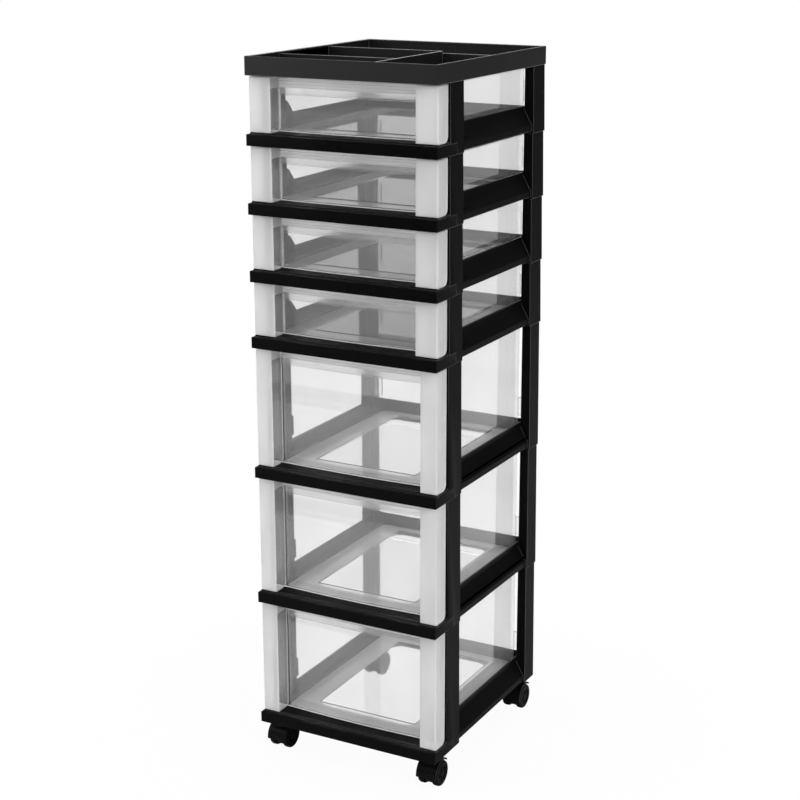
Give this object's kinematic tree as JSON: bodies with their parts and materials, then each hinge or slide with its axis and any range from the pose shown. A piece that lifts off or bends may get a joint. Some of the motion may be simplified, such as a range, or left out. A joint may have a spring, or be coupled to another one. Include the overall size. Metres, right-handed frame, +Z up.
{
  "type": "plastic drawer tower",
  "caption": "Tall rolling drawer tower: black stacking frame modules, clear pull-out drawers, divided top tray and swivel casters.",
  "frame": {"origin": "on the floor under the middle of the tower", "axes": "+Z up, -Y towards the drawer fronts, +X to the right seen from the front"},
  "size_m": [0.306, 0.356, 1.077],
  "materials": {
    "frame_plastic": "black moulded plastic, semi-gloss",
    "tray_plastic": "black moulded plastic, semi-gloss",
    "clear_plastic": "clear moulded plastic with frosted handle columns",
    "caster_plastic": "black moulded plastic",
    "wheel_plastic": "black hard plastic",
    "steel": "zinc plated steel"
  },
  "bodies": {
    "root": {"deep_frame_3": "frame_plastic", "deep_frame_2": "frame_plastic", "deep_frame_1": "frame_plastic", "shallow_frame_4": "frame_plastic", "shallow_frame_3": "frame_plastic", "shallow_frame_2": "frame_plastic", "shallow_frame_1": "frame_plastic", "organizer_tray": "tray_plastic", "front_left_grip_ring": "steel", "front_right_grip_ring": "steel", "rear_left_grip_ring": "steel", "rear_right_grip_ring": "steel"},
    "deep_drawer_3": {"deep_drawer_3": "clear_plastic"},
    "deep_drawer_2": {"deep_drawer_2": "clear_plastic"},
    "deep_drawer_1": {"deep_drawer_1": "clear_plastic"},
    "shallow_drawer_4": {"shallow_drawer_4": "clear_plastic"},
    "shallow_drawer_3": {"shallow_drawer_3": "clear_plastic"},
    "shallow_drawer_2": {"shallow_drawer_2": "clear_plastic"},
    "shallow_drawer_1": {"shallow_drawer_1": "clear_plastic"},
    "front_left_caster": {"front_left_caster_hood": "caster_plastic", "front_left_caster_stem": "steel", "front_left_axle": "steel"},
    "front_left_wheel_left": {"front_left_wheel_left": "wheel_plastic"},
    "front_left_wheel_right": {"front_left_wheel_right": "wheel_plastic"},
    "front_right_caster": {"front_right_caster_hood": "caster_plastic", "front_right_caster_stem": "steel", "front_right_axle": "steel"},
    "front_right_wheel_left": {"front_right_wheel_left": "wheel_plastic"},
    "front_right_wheel_right": {"front_right_wheel_right": "wheel_plastic"},
    "rear_left_caster": {"rear_left_caster_hood": "caster_plastic", "rear_left_caster_stem": "steel", "rear_left_axle": "steel"},
    "rear_left_wheel_left": {"rear_left_wheel_left": "wheel_plastic"},
    "rear_left_wheel_right": {"rear_left_wheel_right": "wheel_plastic"},
    "rear_right_caster": {"rear_right_caster_hood": "caster_plastic", "rear_right_caster_stem": "steel", "rear_right_axle": "steel"},
    "rear_right_wheel_left": {"rear_right_wheel_left": "wheel_plastic"},
    "rear_right_wheel_right": {"rear_right_wheel_right": "wheel_plastic"}
  },
  "joints": [
    {"name": "deep_drawer_3_slide", "type": "slide", "parent": "root", "child": "deep_drawer_3", "axis": [0, -1, 0], "range_m": [0, 0.258]},
    {"name": "deep_drawer_2_slide", "type": "slide", "parent": "root", "child": "deep_drawer_2", "axis": [0, -1, 0], "range_m": [0, 0.258]},
    {"name": "deep_drawer_1_slide", "type": "slide", "parent": "root", "child": "deep_drawer_1", "axis": [0, -1, 0], "range_m": [0, 0.258]},
    {"name": "shallow_drawer_4_slide", "type": "slide", "parent": "root", "child": "shallow_drawer_4", "axis": [0, -1, 0], "range_m": [0, 0.247]},
    {"name": "shallow_drawer_3_slide", "type": "slide", "parent": "root", "child": "shallow_drawer_3", "axis": [0, -1, 0], "range_m": [0, 0.247]},
    {"name": "shallow_drawer_2_slide", "type": "slide", "parent": "root", "child": "shallow_drawer_2", "axis": [0, -1, 0], "range_m": [0, 0.247]},
    {"name": "shallow_drawer_1_slide", "type": "slide", "parent": "root", "child": "shallow_drawer_1", "axis": [0, -1, 0], "range_m": [0, 0.247]},
    {"name": "front_left_swivel", "type": "hinge", "parent": "root", "child": "front_left_caster", "pos_m": [-0.132, -0.15, 0.051], "axis": [0, 0, 1], "continuous": true},
    {"name": "front_left_left_roll", "type": "hinge", "parent": "front_left_caster", "child": "front_left_wheel_left", "pos_m": [-0.132, -0.143, 0.02], "axis": [1, 0, 0], "continuous": true},
    {"name": "front_left_right_roll", "type": "hinge", "parent": "front_left_caster", "child": "front_left_wheel_right", "pos_m": [-0.132, -0.143, 0.02], "axis": [1, 0, 0], "continuous": true},
    {"name": "front_right_swivel", "type": "hinge", "parent": "root", "child": "front_right_caster", "pos_m": [0.132, -0.15, 0.051], "axis": [0, 0, 1], "continuous": true},
    {"name": "front_right_left_roll", "type": "hinge", "parent": "front_right_caster", "child": "front_right_wheel_left", "pos_m": [0.132, -0.143, 0.02], "axis": [1, 0, 0], "continuous": true},
    {"name": "front_right_right_roll", "type": "hinge", "parent": "front_right_caster", "child": "front_right_wheel_right", "pos_m": [0.132, -0.143, 0.02], "axis": [1, 0, 0], "continuous": true},
    {"name": "rear_left_swivel", "type": "hinge", "parent": "root", "child": "rear_left_caster", "pos_m": [-0.132, 0.15, 0.051], "axis": [0, 0, 1], "continuous": true},
    {"name": "rear_left_left_roll", "type": "hinge", "parent": "rear_left_caster", "child": "rear_left_wheel_left", "pos_m": [-0.132, 0.157, 0.02], "axis": [1, 0, 0], "continuous": true},
    {"name": "rear_left_right_roll", "type": "hinge", "parent": "rear_left_caster", "child": "rear_left_wheel_right", "pos_m": [-0.132, 0.157, 0.02], "axis": [1, 0, 0], "continuous": true},
    {"name": "rear_right_swivel", "type": "hinge", "parent": "root", "child": "rear_right_caster", "pos_m": [0.132, 0.15, 0.051], "axis": [0, 0, 1], "continuous": true},
    {"name": "rear_right_left_roll", "type": "hinge", "parent": "rear_right_caster", "child": "rear_right_wheel_left", "pos_m": [0.132, 0.157, 0.02], "axis": [1, 0, 0], "continuous": true},
    {"name": "rear_right_right_roll", "type": "hinge", "parent": "rear_right_caster", "child": "rear_right_wheel_right", "pos_m": [0.132, 0.157, 0.02], "axis": [1, 0, 0], "continuous": true}
  ]
}
